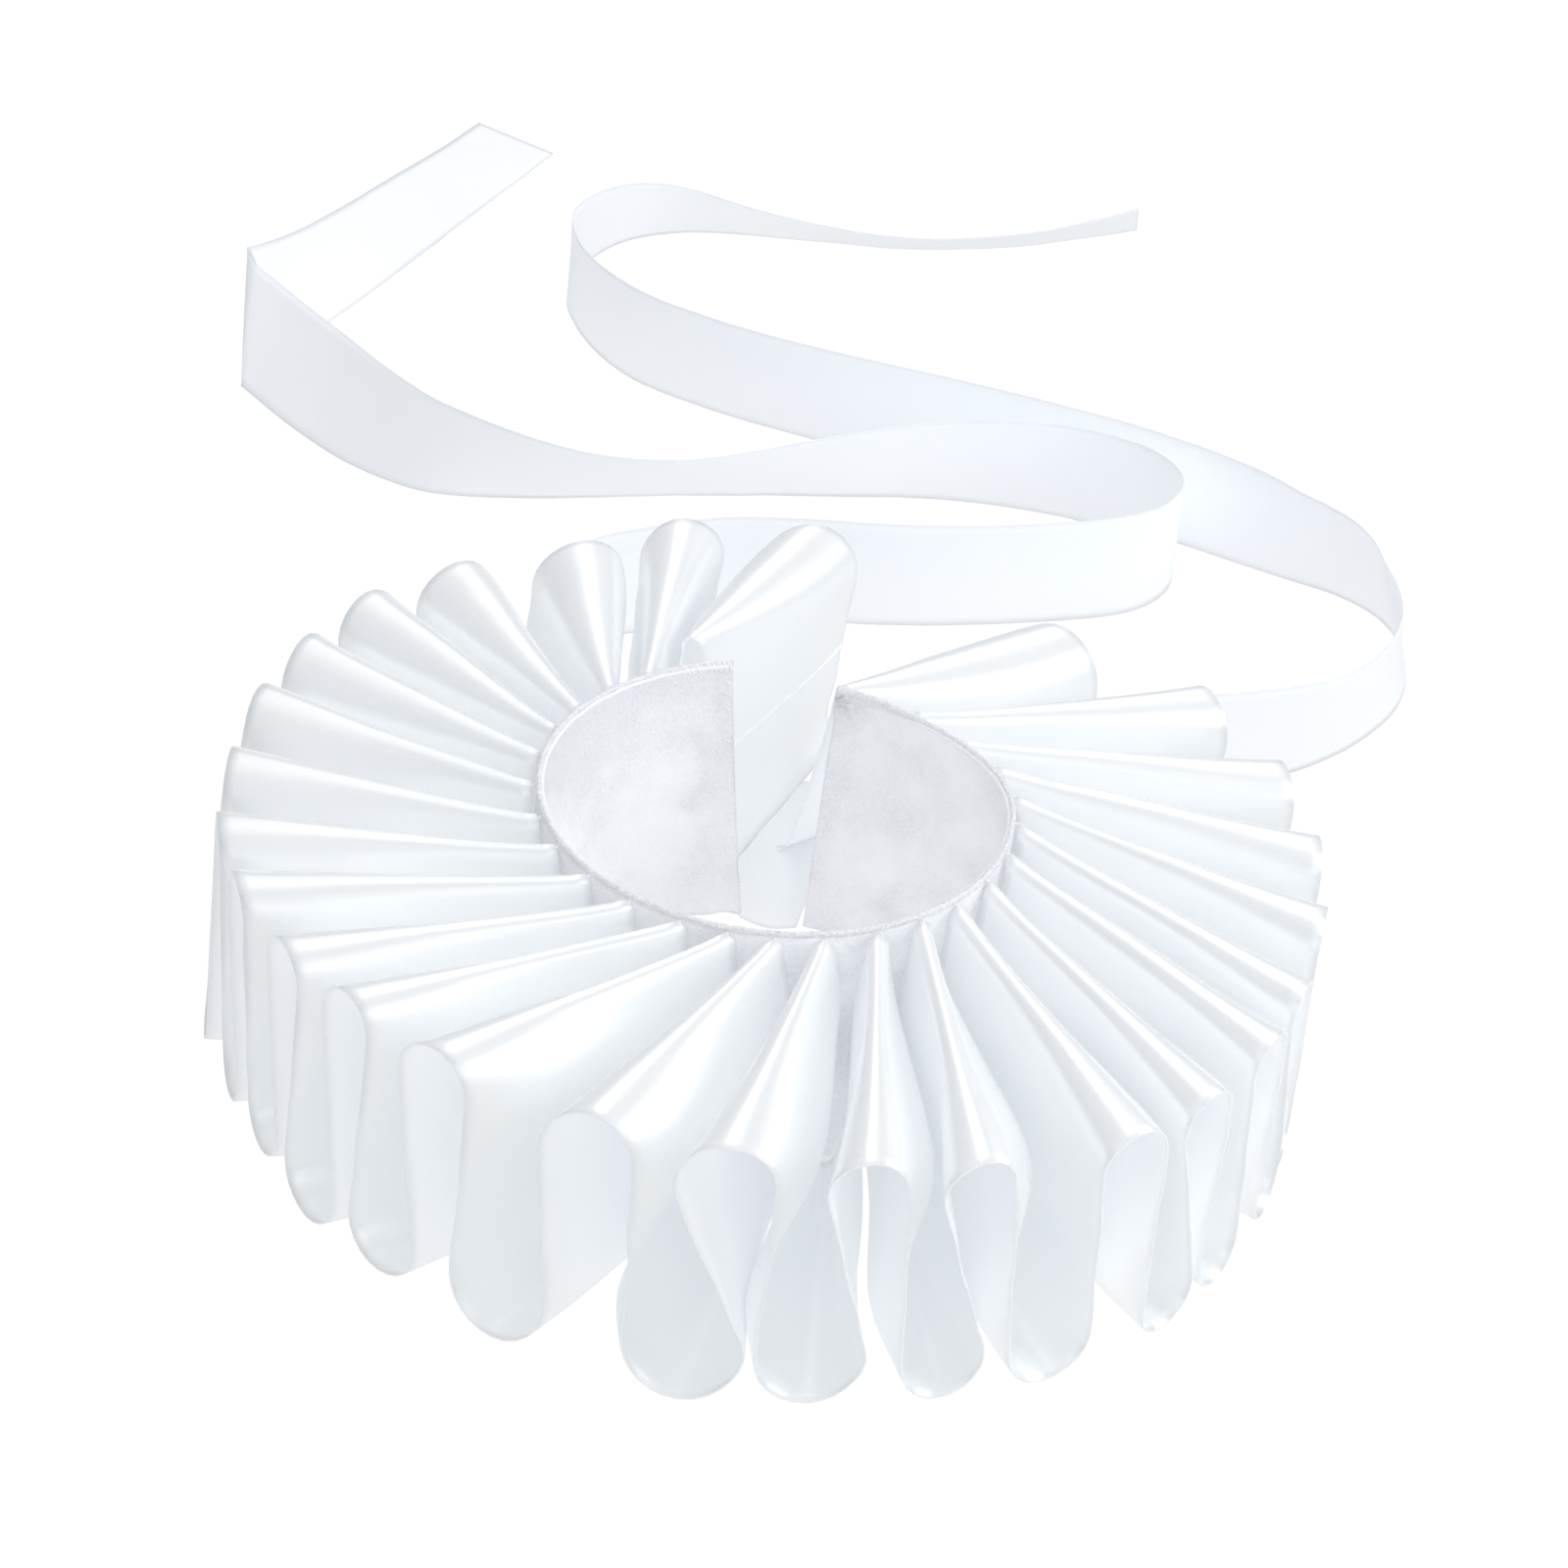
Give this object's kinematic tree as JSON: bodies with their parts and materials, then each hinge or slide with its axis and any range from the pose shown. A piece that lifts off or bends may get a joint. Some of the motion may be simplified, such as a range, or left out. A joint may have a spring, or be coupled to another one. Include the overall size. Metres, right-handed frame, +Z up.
{
  "type": "ruff collar",
  "caption": "Ruff collar: a wide satin ribbon set in deep organ-pipe folds round an upright velvet neckband open at the back, with a ribbon tie at each end",
  "frame": {"origin": "middle of the whole object's box, ties included, on the surface that the collar stands on; the centre of the neck is at x 0.0064, y -0.2214", "axes": "+Z up, -Y is the front of the collar, +Y is the back where the opening is and the ties run out"},
  "size_m": [0.4149, 0.7245, 0.0742],
  "materials": {
    "white_satin": "glossy satin ribbon",
    "white_velvet": "short crushed pile",
    "overcast_edge": "rolled and oversewn edge",
    "tie_ribbon": "smooth satin ribbon"
  },
  "bodies": {
    "root": {"frill_ribbon": "white_satin", "neckband": "white_velvet", "neckband_edge_roll": "overcast_edge", "left_tie": "tie_ribbon", "right_tie": "tie_ribbon"}
  },
  "joints": []
}
